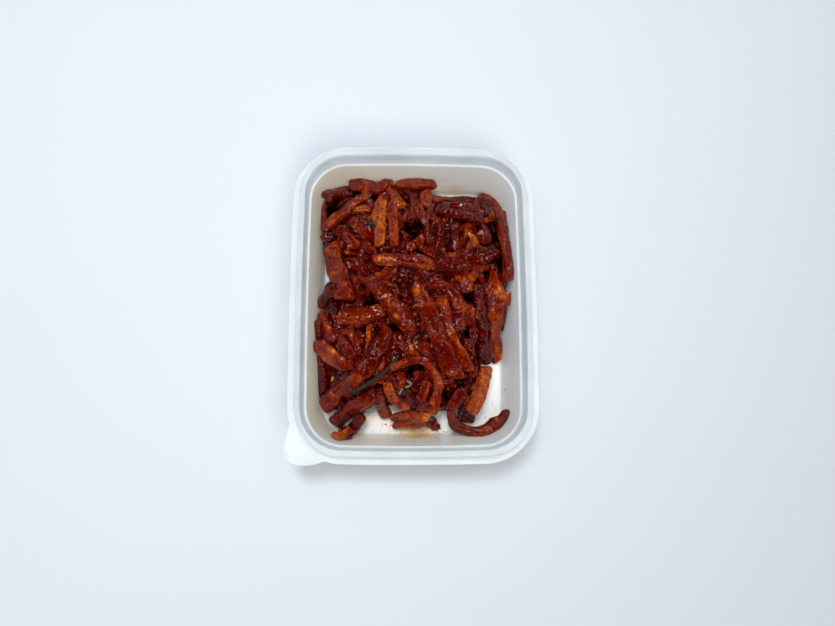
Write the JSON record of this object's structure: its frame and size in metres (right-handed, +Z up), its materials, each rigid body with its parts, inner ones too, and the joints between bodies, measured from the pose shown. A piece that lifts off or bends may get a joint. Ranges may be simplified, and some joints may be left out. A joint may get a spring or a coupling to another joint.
{
  "type": "kimchi in a food box",
  "caption": "Kimchi of seasoned radish strips heaped in a low open translucent plastic food box with a flanged rim and a corner thumb tab.",
  "frame": {"origin": "middle of the box's flat base", "axes": "+Z up out of the open box, +Y along its long side, +X across it; the thumb tab is at -X -Y"},
  "size_m": [0.1173, 0.1522, 0.04],
  "materials": {
    "box": "translucent moulded polypropylene, satin",
    "food": "wet red pepper seasoning on radish strips"
  },
  "bodies": {
    "root": {"tub": "box", "kimchi": "food"}
  },
  "joints": []
}
